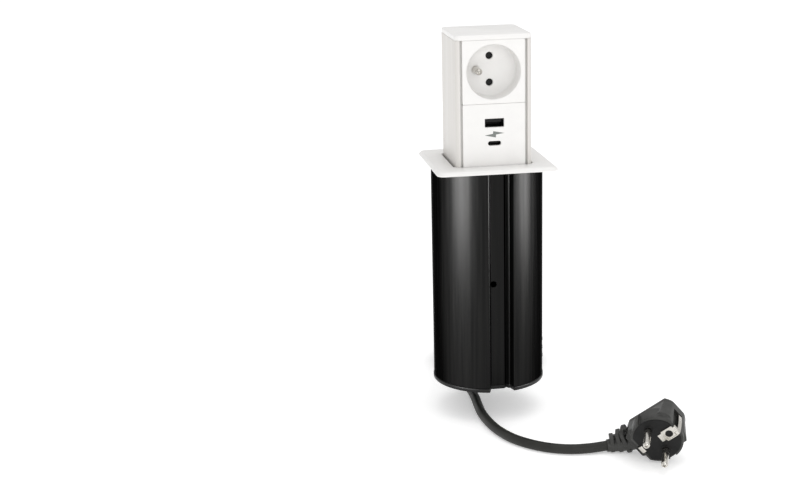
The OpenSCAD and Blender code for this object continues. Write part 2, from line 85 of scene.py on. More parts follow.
LENS_MM = 69.61
SENSOR_MM = 36
CAMERA_AT = Vector((-226.8, -1077.1, 233.3))
CAMERA_AIM = Vector((-65.14, 0, -54.09))
CAMERA_ROLL = -0.0229
FLOOR_HALF = 30
WORLD_STRENGTH = 0.78
STRIP_HEIGHT = 0.18
STRIP_Z = -0.03


def make_camera():
    """The camera, aimed at a point and rolled a little about its own axis."""
    forward = (CAMERA_AIM - CAMERA_AT).normalized()
    level = forward.cross(Vector((0, 0, 1))).normalized()
    upright = level.cross(forward)
    right = level * math.cos(CAMERA_ROLL) + upright * math.sin(CAMERA_ROLL)
    up = upright * math.cos(CAMERA_ROLL) - level * math.sin(CAMERA_ROLL)
    data = bpy.data.cameras.new("camera")
    data.lens = LENS_MM
    data.sensor_width = SENSOR_MM
    data.clip_end = 50
    camera = bpy.data.objects.new("camera", data)
    scene.collection.objects.link(camera)
    turn = Matrix((right, up, -forward)).transposed()
    camera.matrix_world = Matrix.Translation(CAMERA_AT * MM) @ turn.to_4x4()
    scene.camera = camera


def soft_light(name, at, aim, size, power):
    data = bpy.data.lights.new(name, "AREA")
    data.shape = "RECTANGLE"
    data.size, data.size_y = size
    data.energy = power
    light = bpy.data.objects.new(name, data)
    scene.collection.objects.link(light)
    light.location = at
    light.rotation_euler = (Vector(aim) - Vector(at)).to_track_quat("-Z", "Y").to_euler()
    return light


def light_barrel(*pieces):
    """Two lights, left and right, that show only as soft bands in the glossy barrel and base."""
    lit = bpy.data.collections.new("barrel_lit")
    for piece in pieces:
        lit.objects.link(piece)
    aim = (0, 0, STRIP_Z)
    left = soft_light("left_strip", (-0.275, -0.15, STRIP_Z), aim, (0.17, STRIP_HEIGHT), 2.4)
    right = soft_light("right_strip", (0.285, -0.13, STRIP_Z), aim, (0.13, STRIP_HEIGHT), 1.9)
    for strip_light in (left, right):
        strip_light.visible_diffuse = False
        strip_light.visible_camera = False
        strip_light.light_linking.receiver_collection = lit


def make_studio(floor_z):
    """A pale paper floor, an even white world and two large soft lights."""
    soft_light("front_fill", (0.1, -2.8, 1.0), (0, 0, 0), (1.2, 1.0), 12)
    soft_light("overhead", (0.3, -0.1, 2.6), (0, 0, 0), (2.4, 2.4), 17)
    world = bpy.data.worlds.new("studio")
    scene.world = world
    world.use_nodes = True
    background = world.node_tree.nodes["Background"]
    background.inputs["Color"].default_value = (1, 1, 1, 1)
    background.inputs["Strength"].default_value = WORLD_STRENGTH
    scene.view_settings.view_transform = "Standard"
    mesh = bpy.data.meshes.new("floor")
    corners = [(x * FLOOR_HALF, y * FLOOR_HALF, floor_z) for x, y in ((-1, -1), (1, -1), (1, 1), (-1, 1))]
    mesh.from_pydata(corners, [], [(0, 1, 2, 3)])
    floor = bpy.data.objects.new("floor", mesh)
    scene.collection.objects.link(floor)
    floor.data.materials.append(floor_paper())


# ---- materials ----

EVEN = (1, 1, 1)
UPRIGHT = (1, 1, 60)
NOISE_ROUGHNESS = 0.55
# the stretch of a noise's values that a colour or a gloss is spread over
NOISE_LOW = 0.3
NOISE_HIGH = 0.7
LOOKS = {}


class Look:
    """A procedural material: one Principled shader and the textures that vary it."""

    def __init__(self, name, roughness, metallic=0.0, **sockets):
        self.material = bpy.data.materials.new(name)
        self.material.use_nodes = True
        self.nodes = self.material.node_tree.nodes
        self.links = self.material.node_tree.links
        self.shader = self.nodes["Principled BSDF"]
        self.shader.inputs["Roughness"].default_value = roughness
        self.shader.inputs["Metallic"].default_value = metallic
        for socket, value in sockets.items():
            self.shader.inputs[socket.replace("_", " ")].default_value = value
        self.place = self.nodes.new("ShaderNodeTexCoord").outputs["Object"]
        self.normal = None
        LOOKS[name] = self.material

    def texture(self, kind, size_mm, stretch):
        """A texture whose features are about size_mm across, drawn out along an axis by stretch."""
        mapping = self.nodes.new("ShaderNodeMapping")
        mapping.inputs["Scale"].default_value = [1 / s for s in stretch]
        self.links.new(self.place, mapping.inputs["Vector"])
        node = self.nodes.new(kind)
        node.inputs["Scale"].default_value = 1 / (size_mm * MM)
        self.links.new(mapping.outputs["Vector"], node.inputs["Vector"])
        return node

    def noise(self, size_mm, detail, stretch=EVEN):
        node = self.texture("ShaderNodeTexNoise", size_mm, stretch)
        node.inputs["Detail"].default_value = detail
        node.inputs["Roughness"].default_value = NOISE_ROUGHNESS
        return node.outputs["Fac"]

    def cells(self, size_mm):
        """Small rounded cells: grain, or the loops of a tape."""
        return self.texture("ShaderNodeTexVoronoi", size_mm, EVEN).outputs["Distance"]

    def tint(self, factor, dark, light, low=NOISE_LOW, high=NOISE_HIGH):
        """The colour goes from dark to light as the factor goes from low to high."""
        ramp = self.nodes.new("ShaderNodeValToRGB")
        ramp.color_ramp.elements[0].position = low
        ramp.color_ramp.elements[1].position = high
        ramp.color_ramp.elements[0].color = (*dark, 1)
        ramp.color_ramp.elements[1].color = (*light, 1)
        self.links.new(factor, ramp.inputs["Fac"])
        self.links.new(ramp.outputs["Color"], self.shader.inputs["Base Color"])

    def gloss(self, factor, low, high):
        """The roughness goes from low to high with the factor."""
        spread = self.nodes.new("ShaderNodeMapRange")
        spread.inputs["From Min"].default_value = NOISE_LOW
        spread.inputs["From Max"].default_value = NOISE_HIGH
        spread.inputs["To Min"].default_value = low
        spread.inputs["To Max"].default_value = high
        self.links.new(factor, spread.inputs["Value"])
        self.links.new(spread.outputs["Result"], self.shader.inputs["Roughness"])

    def relief(self, height, depth_mm, strength):
        """Bumps of a depth, on top of the bumps made before."""
        bump = self.nodes.new("ShaderNodeBump")
        bump.inputs["Distance"].default_value = depth_mm * MM
        bump.inputs["Strength"].default_value = strength
        self.links.new(height, bump.inputs["Height"])
        if self.normal:
            self.links.new(self.normal, bump.inputs["Normal"])
        self.normal = bump.outputs["Normal"]
        self.links.new(self.normal, self.shader.inputs["Normal"])


def moulded(name, dark, light, roughness, grain_mm=0.5, depth_mm=0.02, **sockets):
    """Moulded plastic: a faint grain, slightly uneven gloss and colour."""
    look = Look(name, roughness, **sockets)
    look.tint(look.noise(9, 4), dark, light)
    look.gloss(look.noise(6, 3), roughness - 0.05, roughness + 0.06)
    look.relief(look.cells(grain_mm), depth_mm, 0.5)
    look.relief(look.noise(14, 2), 0.05, 0.35)


def drawn_metal(name, dark, light, roughness, metallic, stretch, line_mm=0.25, **sockets):
    """Extruded or drawn metal: fine lines along the way it was drawn."""
    look = Look(name, roughness, metallic, **sockets)
    look.tint(look.noise(2.2, 4, stretch), dark, light)
    look.gloss(look.noise(1.1, 4, stretch), roughness - 0.06, roughness + 0.07)
    look.relief(look.noise(line_mm, 3, stretch), 0.006, 0.6)
    look.relief(look.noise(25, 2), 0.05, 0.3)


def rubber(name, dark, light, roughness):
    """A flexible jacket: tiny pits and dull patches."""
    look = Look(name, roughness, Specular_IOR_Level=0.22)
    look.tint(look.noise(12, 5), dark, light)
    look.gloss(look.noise(8, 4), roughness - 0.07, roughness + 0.08)
    look.relief(look.noise(0.6, 4), 0.03, 0.55)
    look.relief(look.noise(7, 2), 0.12, 0.4)


def woven(name, dark, light):
    """Hook and loop tape: a dense field of small loops."""
    look = Look(name, 0.9, Sheen_Weight=0.4)
    look.tint(look.cells(0.5), dark, light, 0.1, 0.6)
    look.relief(look.cells(0.45), 0.25, 0.9)


def floor_paper():
    look = Look("floor_paper", 0.9, Emission_Color=(1, 1, 1, 1), Emission_Strength=0.34)
    look.tint(look.noise(400, 2), (0.93, 0.93, 0.93), (0.95, 0.95, 0.95))
    look.relief(look.noise(3, 3), 0.05, 0.2)
    return look.material


moulded("white_plastic", (0.815, 0.805, 0.79), (0.84, 0.83, 0.815), 0.34, 0.35, 0.01)
moulded("housing_plastic", (0.66, 0.66, 0.64), (0.70, 0.70, 0.68), 0.5)
moulded("black_moulding", (0.006, 0.006, 0.006), (0.011, 0.011, 0.011), 0.42, Specular_IOR_Level=0.2)
moulded("grey_plastic", (0.17, 0.17, 0.165), (0.22, 0.22, 0.21), 0.5)
moulded("plug_rubber", (0.024, 0.024, 0.022), (0.042, 0.042, 0.039), 0.42, 0.6, 0.03,
        Specular_IOR_Level=0.4)
moulded("mark_print", (0.16, 0.175, 0.16), (0.20, 0.215, 0.20), 0.5, 0.3, 0.01)
moulded("circuit_board", (0.012, 0.10, 0.04), (0.02, 0.14, 0.06), 0.35)
moulded("transformer_tape", (0.55, 0.40, 0.06), (0.66, 0.50, 0.10), 0.4)
moulded("capacitor_sleeve", (0.010, 0.016, 0.06), (0.02, 0.03, 0.09), 0.3)
moulded("wire_brown", (0.07, 0.025, 0.01), (0.10, 0.04, 0.015), 0.35)
moulded("wire_blue", (0.01, 0.04, 0.25), (0.02, 0.06, 0.33), 0.35)
moulded("wire_green", (0.12, 0.30, 0.03), (0.45, 0.48, 0.03), 0.35)
drawn_metal("anodised_profile", (0.65, 0.63, 0.60), (0.72, 0.70, 0.675), 0.42, 0.25, UPRIGHT)
drawn_metal("black_anodised", (0.011, 0.011, 0.011), (0.016, 0.0158, 0.0155), 0.34, 1.0, UPRIGHT,
            Specular_Tint=(0.2, 0.2, 0.2, 1))
drawn_metal("nickel", (0.54, 0.52, 0.48), (0.66, 0.64, 0.60), 0.2, 1.0, EVEN, 0.8)
# port_metal: the ports' metal shells are coloured near black instead of bright nickel, as painted shade for
# the dark inside of the ports
drawn_metal("port_metal", (0.012, 0.012, 0.012), (0.02, 0.02, 0.02), 0.4, 0.6, EVEN, 0.8)
# the port contacts' gold is darkened, as painted shade for the dark inside of the ports
drawn_metal("shaded_port_contact", (0.10, 0.085, 0.06), (0.16, 0.14, 0.10), 0.35, 1.0, EVEN, 0.6)
drawn_metal("steel", (0.42, 0.42, 0.42), (0.55, 0.55, 0.55), 0.32, 1.0, EVEN, 0.6)
drawn_metal("brass", (0.55, 0.38, 0.14), (0.68, 0.50, 0.22), 0.28, 1.0, EVEN, 0.6)
rubber("black_rubber", (0.010, 0.010, 0.010), (0.02, 0.02, 0.02), 0.6)
rubber("cord_jacket", (0.020, 0.020, 0.018), (0.032, 0.032, 0.029), 0.46)
woven("strap_tape", (0.006, 0.006, 0.006), (0.03, 0.03, 0.03))


# ---- mesh tools: lengths in millimetres ----

SHARP_DEG = 32


def shade(mesh):
    """Smooth faces, with every edge sharper than the limit kept crisp."""
    mesh.polygons.foreach_set("use_smooth", [True] * len(mesh.polygons))
    mesh.set_sharp_from_angle(angle=math.radians(SHARP_DEG))


def piece_of(name, mesh, body, slot, replaces=(), look=None):
    """A new piece that rides on a body, stands for CAD nodes and takes its slot's material."""
    shade(mesh)
    piece = bpy.data.objects.new(name, mesh)
    scene.collection.objects.link(piece)
    mesh.materials.clear()
    mesh.materials.append(LOOKS[look or slot])
    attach(piece, body)
    if replaces:
        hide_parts(*replaces)
    return piece


def mesh_from(name, points, faces):
    mesh = bpy.data.meshes.new(name)
    mesh.from_pydata([Vector(p) * MM for p in points], [], faces)
    mesh.update()
    return mesh


def shell(rings, caps=True, joined=False):
    """Points and faces that bridge rings of equal length, with end caps, or closed on itself."""
    count = len(rings[0])
    points = [p for ring in rings for p in ring]
    faces = []
    pairs = len(rings) if joined else len(rings) - 1
    for i in range(pairs):
        a, b = i * count, (i + 1) % len(rings) * count
        for k in range(count):
            n = (k + 1) % count
            faces.append((a + k, a + n, b + n, b + k))
    if caps and not joined:
        faces.append(tuple(reversed(range(count))))
        faces.append(tuple(range((len(rings) - 1) * count, len(rings) * count)))
    return points, faces


def merged(parts):
    """Several (points, faces) as one."""
    points, faces = [], []
    for more_points, more_faces in parts:
        start = len(points)
        points += list(more_points)
        faces += [tuple(i + start for i in f) for f in more_faces]
    return points, faces


def tidy_normals(mesh):
    """The mesh with doubled points merged and its faces turned outwards."""
    work = bmesh.new()
    work.from_mesh(mesh)
    bmesh.ops.remove_doubles(work, verts=work.verts, dist=1e-7)
    bmesh.ops.recalc_face_normals(work, faces=work.faces)
    work.to_mesh(mesh)
    work.free()
    return mesh


def solid(name, *parts):
    """A mesh of one or more closed shells."""
    return tidy_normals(mesh_from(name, *merged(parts)))


def solid_piece(name, parts, body, slot, replaces=(), look=None):
    """A new piece made of one or more closed shells."""
    return piece_of(name, solid(name, *parts), body, slot, replaces, look)


def with_more(mesh, extra):
    """The mesh with a second one added to it."""
    work = bmesh.new()
    work.from_mesh(mesh)
    work.from_mesh(extra)
    work.to_mesh(mesh)
    work.free()
    return mesh


def moved(part, matrix):
    points, faces = part
    return [matrix @ Vector(p) for p in points], faces


def circle_ring(r, z, count):
    return [(r * math.cos(TAU * k / count), r * math.sin(TAU * k / count), z) for k in range(count)]


def turned(profile, count):
    """A lathe shape about Z from (radius, z) points, closed at both ends."""
    return shell([circle_ring(r, z, count) for r, z in profile])


def turned_tube(profile, count):
    """A lathe shape whose profile closes on itself."""
    return shell([circle_ring(r, z, count) for r, z in profile], joined=True)


def box_part(low, high, edge):
    """A box with bevelled edges all round, from four stacked loops."""
    (x0, y0, z0), (x1, y1, z1) = low, high

    def loop(inset, z):
        e = edge
        return [(x0 + inset + e, y0 + inset, z), (x1 - inset - e, y0 + inset, z),
                (x1 - inset, y0 + inset + e, z), (x1 - inset, y1 - inset - e, z),
                (x1 - inset - e, y1 - inset, z), (x0 + inset + e, y1 - inset, z),
                (x0 + inset, y1 - inset - e, z), (x0 + inset, y0 + inset + e, z)]

    return shell([loop(edge, z0), loop(0, z0 + edge), loop(0, z1 - edge), loop(edge, z1)])


def reach(angle, half_x, half_y, r):
    """How far a rounded rectangle reaches from its middle in one direction."""
    c, s = abs(math.cos(angle)), abs(math.sin(angle))
    flat_x, flat_y = half_x - r, half_y - r
    if c > 1e-9 and half_x / c * s <= flat_y:
        return half_x / c
    if s > 1e-9 and half_y / s * c <= flat_x:
        return half_y / s
    along = c * flat_x + s * flat_y
    return along + math.sqrt(max(along * along - flat_x ** 2 - flat_y ** 2 + r * r, 0))


def reach_ring(distance, count):
    """(x, y) points at even angles, each as far out as distance says for its angle."""
    angles = [TAU * (k + 0.5) / count for k in range(count)]
    return [(distance(a) * math.cos(a), distance(a) * math.sin(a)) for a in angles]


def round_ring(r, count):
    return reach_ring(lambda a: r, count)


def square_ring(half, r, count):
    """A rounded square as (x, y) points."""
    return reach_ring(lambda a: reach(a, half, half, r), count)


def lifted(ring, z):
    return [(x, y, z) for x, y in ring]


QUARTER_STEPS = 4


def quarter(r):
    """(inset, depth) steps of an edge rounded with radius r, from the side to the flat."""
    angles = [math.pi / 2 * i / QUARTER_STEPS for i in range(QUARTER_STEPS + 1)]
    return [(r * (1 - math.cos(a)), r * (1 - math.sin(a))) for a in angles]


def facing_front(x, y, z):
    """Turns a shape made flat in XY into the front plane: its +Y goes up and its +Z goes back."""
    upright = Matrix.Rotation(math.radians(-90), 4, "X") @ Matrix.Scale(-1, 4, (0, 1, 0))
    return Matrix.Translation((x, y, z)) @ upright


def applied(holder, name):
    """A new mesh of the object with its modifiers applied."""
    bpy.context.view_layer.update()
    graph = bpy.context.evaluated_depsgraph_get()
    mesh = bpy.data.meshes.new_from_object(holder.evaluated_get(graph))
    mesh.name = name
    return mesh


def cut(mesh, *cutters):
    """The mesh with closed cutters taken out of it by exact booleans."""
    holder = bpy.data.objects.new("cut_holder", mesh)
    scene.collection.objects.link(holder)
    tools = []
    for part in cutters:
        tool = bpy.data.objects.new("cut_tool", solid("cut_tool", part))
        scene.collection.objects.link(tool)
        tools.append(tool)
        modifier = holder.modifiers.new("cut", "BOOLEAN")
        modifier.operation = "DIFFERENCE"
        modifier.solver = "EXACT"
        modifier.object = tool
    result = applied(holder, mesh.name)
    for item in [holder, *tools]:
        bpy.data.objects.remove(item)
    return result


def catmull(points, steps):
    """A smooth line through the points, with steps pieces between each pair."""
    line = []
    for i in range(len(points) - 1):
        a = points[max(i - 1, 0)]
        b, c = points[i], points[i + 1]
        d = points[min(i + 2, len(points) - 1)]
        for k in range(steps):
            t = k / steps
            line.append(0.5 * (2 * b + (c - a) * t + (2 * a - 5 * b + 4 * c - d) * t ** 2
                               + (3 * b - a - 3 * c + d) * t ** 3))
    return [*line, points[-1]]


def swept(line, radius, sides):
    """A round tube along a line of points; radius is a number or a function of the share run."""
    rings = []
    up = Vector((0, 0, 1))
    for i, point in enumerate(line):
        along = (line[min(i + 1, len(line) - 1)] - line[max(i - 1, 0)]).normalized()
        across = along.cross(up)
        across = across.normalized() if across.length > 1e-6 else Vector((1, 0, 0))
        up = across.cross(along).normalized()
        r = radius(i / (len(line) - 1)) if callable(radius) else radius
        rings.append([point + r * (across * math.cos(TAU * k / sides) + up * math.sin(TAU * k / sides))
                      for k in range(sides)])
    return shell(rings)


def strip(path, thickness, half_width, across):
    """A flat band bent along a path of points in a plane, and wide across that plane."""
    rings = []
    for i, point in enumerate(path):
        along = (path[min(i + 1, len(path) - 1)] - path[max(i - 1, 0)]).normalized()
        side = along.cross(across).normalized() * thickness / 2
        wide = across * half_width
        edge = across * min(0.15, half_width / 4)
        rings.append([point + side - wide + edge, point + side + wide - edge, point + wide,
                      point - side + wide - edge, point - side - wide + edge, point - wide])
    return shell(rings)


# ---- the mains lead ----

CORD_D = 7.0
BASE_Z = cad_mm("base_cap")[0].z
SURFACE_Z = cad_mm("cord_coil")[0].z
LAY_Z = SURFACE_Z + CORD_D / 2
COIL_MIDDLE = (22.0, 103.0)
COIL_OUTER = 41.0
COIL_INNER = 34.0
CORD_EXIT = Vector((-11, 40, -171))
LEAD_IN = [tuple(CORD_EXIT), (-11.5, 55, -170.8), (-13, 70, -170.2), (-16, 86, -169.7)]
RELIEF_LINE = [(61, -108, -182.4), (66, -108.5, -182), (71, -109.9, -181), (75.3, -112, -179.5),
               (78.97, -114.57, -177.53), (81.5, -116.1, -175.2)]
LEAD_OUT = [(11.5, 60, -183.5), (1.5, 54, -183.5), (-5.5, 45, -183.5), (-8.5, 33, -183.5),
            (-8.5, 18, -183.5), (-9, 3, -183.5), (-10, -12, -183.5), (-10.5, -28, -183.5),
            (-9, -46, -183.5), (-5.5, -63, -183.5), (1, -79, -183.5), (11, -92, -183.5),
            (23, -101.5, -183.5), (36, -106.5, -183.5), (49, -108, -183.2), RELIEF_LINE[0]]
TURN_POINTS = 16
LEAD_STEPS = 4
# each turn's radius and layer, the angle where it has moved to the next one, and how far
# round that move takes
TURNS = [(COIL_OUTER, 2), (COIL_OUTER, 1), (COIL_INNER, 1), (COIL_INNER, 0), (COIL_OUTER, 0)]
MOVE_ENDS = [370, 715, 1060, 1405]
MOVE_SPAN = 85
COIL_END = 1710


def smooth(t):
    """An eased step from 0 to 1."""
    t = min(max(t, 0), 1)
    return t * t * (3 - 2 * t)


def coil_point(degrees):
    """A point of the coil, wound clockwise seen from above, from its left side."""
    radius, layer = TURNS[0]
    for i, end in enumerate(MOVE_ENDS):
        share = smooth((degrees - end + MOVE_SPAN) / MOVE_SPAN)
        radius += share * (TURNS[i + 1][0] - TURNS[i][0])
        layer += share * (TURNS[i + 1][1] - TURNS[i][1])
    angle = math.radians(180 - degrees)
    return Vector((COIL_MIDDLE[0] + radius * math.cos(angle), COIL_MIDDLE[1] + radius * math.sin(angle),
                   LAY_Z + CORD_D * layer))


def lead_points():
    """The lead's whole route: from the gland to the coil, round it, and out to the plug."""
    turns = COIL_END / 360
    count = round(turns * TURN_POINTS)
    coil = [coil_point(COIL_END * k / count) for k in range(count + 1)]
    return [Vector(p) for p in LEAD_IN] + coil + [Vector(p) for p in LEAD_OUT]


def make_lead():
    """The lead as one round curve."""
    line = catmull(lead_points(), LEAD_STEPS)
    curve = bpy.data.curves.new("mains_lead", "CURVE")
    curve.dimensions = "3D"
    curve.bevel_depth = CORD_D / 2 * MM
    curve.bevel_resolution = 7
    curve.use_fill_caps = True
    curve.twist_mode = "MINIMUM"
    spline = curve.splines.new("POLY")
    spline.points.add(len(line) - 1)
    for place, point in zip(spline.points, line):
        place.co = (*(point * MM), 1)
    spline.use_smooth = True
    curve.materials.append(LOOKS["cord_jacket"])
    lead = bpy.data.objects.new("mains_lead", curve)
    scene.collection.objects.link(lead)
    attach(lead, "housing")
    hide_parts("cord_lead_in", "cord_coil", "cord_lead_out")
    return lead


TIE_TURN = 45
STRAP_THICK = 0.9
STRAP_HALF_WIDE = 5
STRAP_CORNER_R = 2.5
STRAP_GAP = 0.8


def make_strap():
    """The tape round the coil: a closed band with an overlapping end."""
    low, high = cad_mm("cord_tie")
    middle_x, middle_y = COIL_MIDDLE
    pivot = Vector((middle_x, middle_y, 0))
    turn = Matrix.Rotation(math.radians(TIE_TURN), 3, "Z")
    x0 = middle_x + COIL_INNER - CORD_D / 2 - STRAP_GAP
    x1 = middle_x + COIL_OUTER + CORD_D / 2 + STRAP_GAP
    z0, z1 = low.z + STRAP_THICK / 2, high.z - STRAP_THICK / 2
    r = STRAP_CORNER_R
    corners = [(x1 - r, z0 + r, -90), (x1 - r, z1 - r, 0), (x0 + r, z1 - r, 90), (x0 + r, z0 + r, 180)]
    path = []
    for corner_x, corner_z, start in corners:
        for k in range(7):
            a = math.radians(start + 90 * k / 6)
            path.append(Vector((corner_x + r * math.cos(a), middle_y, corner_z + r * math.sin(a))))
    path = [*path, path[0] + Vector((6, 0, 0))]
    tail = [Vector((x1 + 0.9, middle_y, z1 - 3.2 - 1.5 * k)) for k in range(7)]
    path = [pivot + turn @ (p - pivot) for p in path]
    tail = [pivot + turn @ (p - pivot) for p in tail]
    across = turn @ Vector((0, 1, 0))
    band = strip(path, STRAP_THICK, STRAP_HALF_WIDE, across)
    end = strip(tail, STRAP_THICK, STRAP_HALF_WIDE - 0.4, across)
    return solid_piece("coil_strap", [band, end], "housing", "black_rubber", ["cord_tie"], "strap_tape")


make_camera()
make_studio(SURFACE_Z * MM)
lead = make_lead()
strap = make_strap()


# ---- barrel, base and flange ----

BARREL_R = 40.6
BARREL_WALL = 1.8
CHANNEL_X = 2.3
CHANNEL_FLOOR = 33.0
CHANNEL_HALF = 6.9
CHANNEL_FLARE = 3.8 / 12
# the V-shaped line in the channel's floor: from and to, across the channel, and its depth
CHANNEL_GROOVE = (3.0, 6.2, 1.8)
LIP_R = 0.5
# the cable tie hole: its place across, its level and its radius
TIE_HOLE = (-2.6, -83.0, 2.2)
ARC_STEPS = 70
PORT_AT = (35.4, 7.0)
SCREW_AT = (35.3, 7.0)
BASE_R = 41.0
BASE_RIM = 3.0


def channel_half_points(r, grow, side):
    """Floor corner and lip of one wall of the front channel; side is -1 for left."""
    corner = Vector((CHANNEL_X + side * (CHANNEL_HALF + grow), grow - CHANNEL_FLOOR))
    slope = Vector((side * CHANNEL_FLARE, -1)).normalized()
    b = corner.dot(slope)
    lip = corner + slope * (-b + math.sqrt(b * b - corner.length_squared + r * r))
    return corner, lip


def channel_outline(r, grow, groove=True):
    """The barrel's outline, with both channels: the second is the first turned half round."""
    left_corner, left_lip = channel_half_points(r, grow, -1)
    right_corner, right_lip = channel_half_points(r, grow, 1)
    groove_from, groove_to, groove_deep = CHANNEL_GROOVE
    groove_x = CHANNEL_X + (groove_from + groove_to) / 2
    floor_y = grow - CHANNEL_FLOOR
    bottom_y = floor_y + (groove_deep if groove else 0)
    front = [left_lip + (left_corner - left_lip) * 0.06, left_corner + (left_lip - left_corner) * 0.05,
             left_corner + Vector((0.35, 0)), Vector((CHANNEL_X + groove_from, floor_y)),
             Vector((groove_x - 0.1, bottom_y)), Vector((groove_x + 0.1, bottom_y)),
             Vector((CHANNEL_X + groove_to, floor_y)), right_corner - Vector((0.35, 0)),
             right_corner + (right_lip - right_corner) * 0.05, right_lip + (right_corner - right_lip) * 0.06]
    nip = LIP_R / r
    start = math.atan2(right_lip.y, right_lip.x) + nip
    stop = math.atan2(-left_lip.y, -left_lip.x) - nip
    arc = [start + (stop - start) * k / ARC_STEPS for k in range(ARC_STEPS + 1)]
    half = [(p.x, p.y) for p in front] + [(r * math.cos(a), r * math.sin(a)) for a in arc]
    return half + [(-x, -y) for x, y in half]


def make_barrel():
    """The extruded tube with its two channels, its screw ports and its tie hole."""
    low, high = cad_mm("barrel_shell")
    middle = (low.z + high.z) / 2
    edge = 0.3
    outer = [lifted(channel_outline(BARREL_R - inset, inset), z) for inset, z in
             [(edge, low.z), (0, low.z + edge), (0, middle), (0, high.z - edge), (edge, high.z)]]
    inner = [lifted(channel_outline(BARREL_R - BARREL_WALL, 2.0, groove=False), z)
             for z in (high.z, middle, low.z)]
    wall = shell(outer + inner, joined=True)
    port_top = -1.6
    port = turned_tube([(3.0, low.z), (3.0, port_top), (1.6, port_top), (1.6, low.z)], 24)
    ports = [moved(port, Matrix.Translation((x, y, 0))) for x, y in four_places(*PORT_AT)]
    hole_x, hole_z, hole_r = TIE_HOLE
    drill = turned([(hole_r, -4), (hole_r, 1.7), (hole_r + 0.35, 2.05), (hole_r + 0.35, 4)], 32)
    place = facing_front(hole_x, 2 - CHANNEL_FLOOR, hole_z) @ Matrix.Rotation(math.pi, 4, "X")
    body = with_more(cut(solid("barrel_tube", wall), moved(drill, place)), solid("ports", *ports))
    return piece_of("barrel_tube", body, "housing", "black_anodised", ["barrel_shell"])


def make_base():
    """The cap, with a shadow line where it meets the barrel, and its spigot inside."""
    low, high = cad_mm("base_cap")
    top = low.z + BASE_RIM
    loops = [(0.9, low.z), (0.25, low.z + 0.15), (0, low.z + 0.6), (0, top - 0.55), (0.15, top - 0.3),
             (0.75, top - 0.2), (0.75, top)]
    cap = shell([lifted(channel_outline(BASE_R - inset, inset * 0.5), z) for inset, z in loops])
    sink = turned([(2.8, -1), (2.8, 1.7)], 32)
    sinks = [moved(sink, Matrix.Translation((x, y, low.z))) for x, y in four_places(*SCREW_AT)]
    spigot = shell([lifted(channel_outline(r, 2.3, groove=False), z) for r, z in
                    [(38.5, top), (38.5, high.z), (36.7, high.z), (36.7, top)]], joined=True)
    body = with_more(cut(solid("base_cover", cap), *sinks), solid("spigot", spigot))
    return piece_of("base_cover", body, "housing", "black_moulding", ["base_cap"])


TOWER_HALF = 27.3
TOWER_R = 3.0
TOWER_GAP = 0.4
FACE_Y = -TOWER_HALF
SLOT_HALF = (29.0, 24.5)
SLOT_R = 1.0
FLANGE_POINTS = 720
FLANGE_CORNER_R = 5.2
FLANGE_BORE_R = 41.4
PLATE_LOW = 1.0


def opening_reach(angle, grow):
    """How far the flange's opening reaches: the tower's square, or the slots at its sides."""
    half = TOWER_HALF + TOWER_GAP + grow
    return max(reach(angle, half, half, TOWER_R + TOWER_GAP),
               reach(angle, SLOT_HALF[0] + grow, SLOT_HALF[1] + grow, SLOT_R))


def make_flange():
    """The square flange: a bore over the barrel, a soft outer edge and the tower's opening."""
    low, high = cad_mm("top_flange")
    count = FLANGE_POINTS
    outside = [(0.3, low.z), (0.05, low.z + 0.12), (0, low.z + 0.35), (0, low.z + 0.9), (0.15, low.z + 1.25),
               (1.55, high.z - 0.35), (1.95, high.z - 0.1), (2.5, high.z)]
    inside = [(0.3, high.z), (0.08, high.z - 0.08), (0, high.z - 0.3), (0, PLATE_LOW)]
    rings = [lifted(round_ring(FLANGE_BORE_R, count), z) for z in (PLATE_LOW, low.z)]
    rings += [lifted(square_ring(high.x - inset, FLANGE_CORNER_R - inset * 0.6, count), z)
              for inset, z in outside]
    rings += [lifted(reach_ring(lambda a, g=grow: opening_reach(a, g), count), z) for grow, z in inside]
    plate = shell(rings, joined=True)
    return solid_piece("flange_plate", [plate], "housing", "white_plastic", ["top_flange"])


# ---- tower ----

POST_X = 24.0
POST_DEPTH = 5.6
SIDE_WALL = 1.6
CORNER_STEPS = 8


def tower_section():
    """Matching outer and inner paths of the profile's section, from post to post round the back."""
    h, r = TOWER_HALF, TOWER_R
    post_outer = [Vector((POST_X, 0.6 - h)), Vector((POST_X + 0.12, 0.12 - h)), Vector((POST_X + 0.5, -h))]
    post_inner = [Vector((POST_X, 1.6 - h)), Vector((POST_X, 2.6 - h)), Vector((POST_X, POST_DEPTH - h))]
    outer = list(post_outer)
    inner = list(post_inner)
    for x, y, start in ((h - r, r - h, -90), (h - r, h - r, 0), (r - h, h - r, 90), (r - h, r - h, 180)):
        for k in range(CORNER_STEPS + 1):
            a = math.radians(start + 90 * k / CORNER_STEPS)
            away = Vector((math.cos(a), math.sin(a)))
            outer.append(Vector((x, y)) + r * away)
            if y < 0:
                inner.append(Vector((math.copysign(h - SIDE_WALL, x), POST_DEPTH - h)))
            else:
                inner.append(Vector((x, y)) + (r - SIDE_WALL) * away)
    outer += [Vector((-p.x, p.y)) for p in reversed(post_outer)]
    inner += [Vector((-p.x, p.y)) for p in reversed(post_inner)]
    return outer, inner


def make_profile():
    """The tower's metal profile, open at the front, with both of its ends closed by hand."""
    low, high = cad_mm("tower_profile")
    outer, inner = tower_section()
    loop = [(p.x, p.y) for p in outer] + [(p.x, p.y) for p in reversed(inner)]
    count = len(outer)
    levels = [low.z, low.z + 0.2, high.z - 0.2, high.z]
    points, faces = shell([lifted(loop, z) for z in levels], caps=False)
    last = (len(levels) - 1) * len(loop)
    for a in range(count - 1):
        b, c, d = a + 1, 2 * count - 2 - a, 2 * count - 1 - a
        faces.append((a, b, c, d))
        faces.append((last + d, last + c, last + b, last + a))
    return solid_piece("tower_skin", [(points, faces)], "tower", "anodised_profile", ["tower_profile"])


LID_POINTS = 240
LID_EDGE = 0.7


